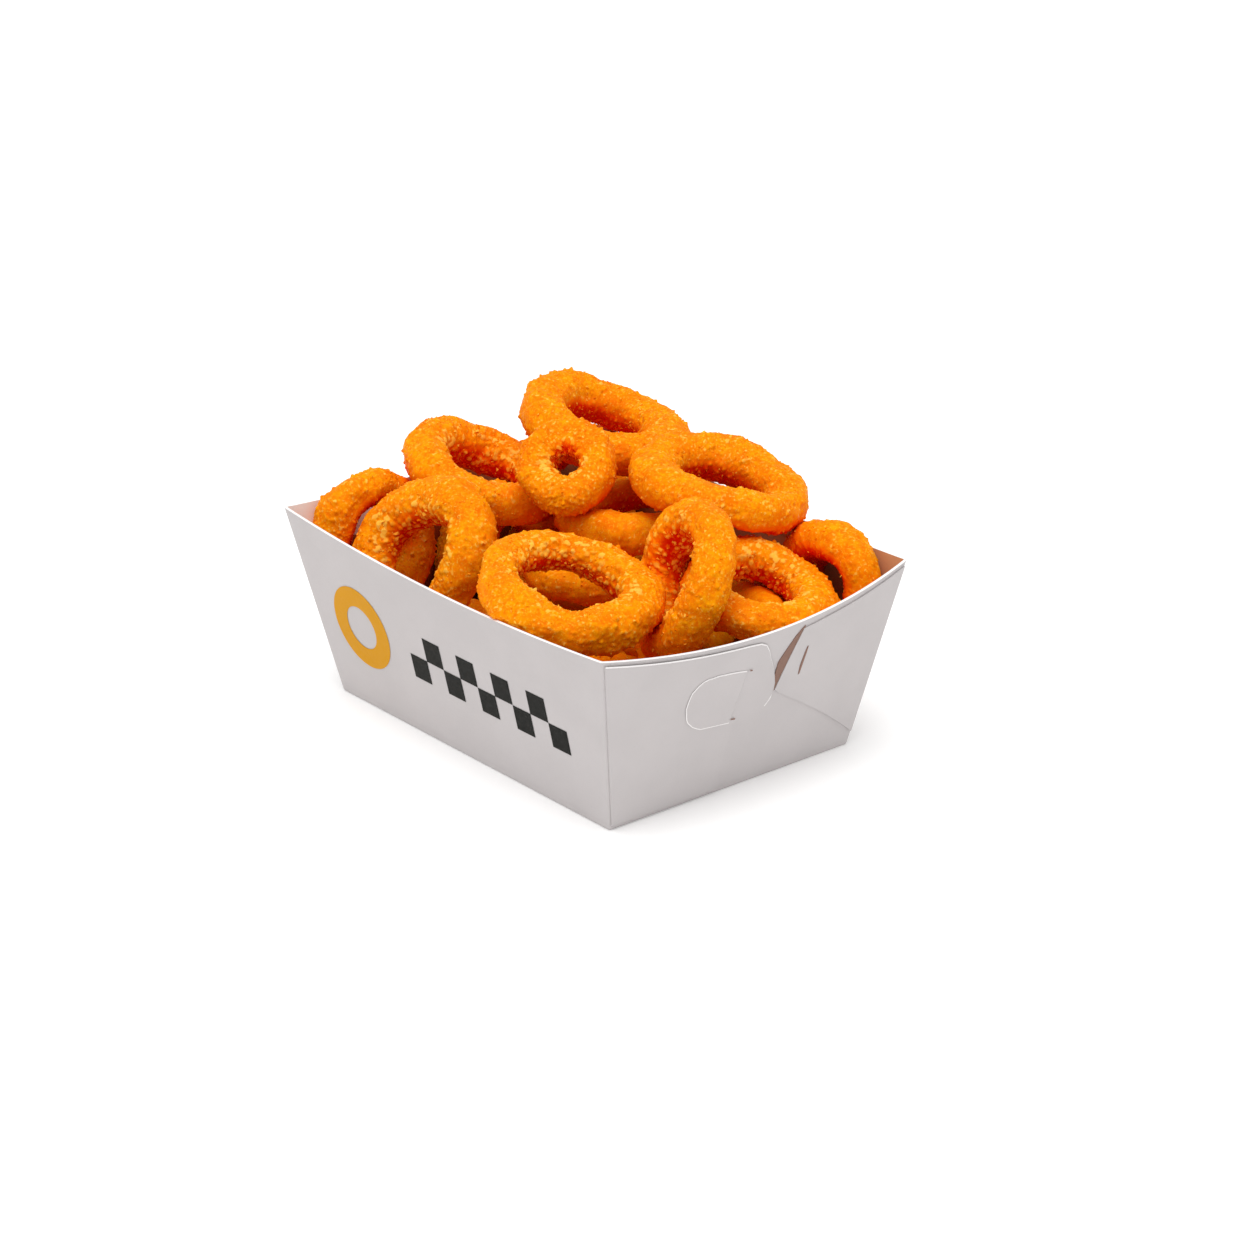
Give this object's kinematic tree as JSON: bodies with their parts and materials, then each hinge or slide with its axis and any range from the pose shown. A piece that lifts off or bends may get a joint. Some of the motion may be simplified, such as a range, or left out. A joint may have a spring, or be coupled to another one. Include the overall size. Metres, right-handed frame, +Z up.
{
  "type": "onion rings in a paper tray",
  "caption": "Breaded, fried onion rings heaped in an open, flaring paperboard tray with a locking tongue on each end wall.",
  "frame": {"origin": "middle of the tray's underside, on the surface that the tray stands on", "axes": "+X along the tray's long side, towards the end wall whose tongue faces the picture; -Y faces out of the long wall that the picture shows; +Z up"},
  "size_m": [0.1726, 0.1312, 0.0927],
  "materials": {
    "paperboard": "uncoated white outside, brown inside",
    "breaded_crust": "golden fried crumb, dry and rough"
  },
  "bodies": {
    "root": {"tray": "paperboard", "ring_back_left": "breaded_crust", "ring_back_left_high": "breaded_crust", "ring_back_wall": "breaded_crust", "ring_floor_back_left": "breaded_crust", "ring_floor_back_right": "breaded_crust", "ring_floor_front_left": "breaded_crust", "ring_floor_front_right": "breaded_crust", "ring_front": "breaded_crust", "ring_left_high": "breaded_crust", "ring_left_leaning": "breaded_crust", "ring_left_wall": "breaded_crust", "ring_low_back": "breaded_crust", "ring_low_back_left": "breaded_crust", "ring_low_corner": "breaded_crust", "ring_low_front": "breaded_crust", "ring_low_left": "breaded_crust", "ring_low_right": "breaded_crust", "ring_middle": "breaded_crust", "ring_middle_high": "breaded_crust", "ring_right_high": "breaded_crust", "ring_right_leaning": "breaded_crust", "ring_right_low": "breaded_crust", "ring_small": "breaded_crust", "ring_top": "breaded_crust", "ring_under_left_high": "breaded_crust"}
  },
  "joints": []
}
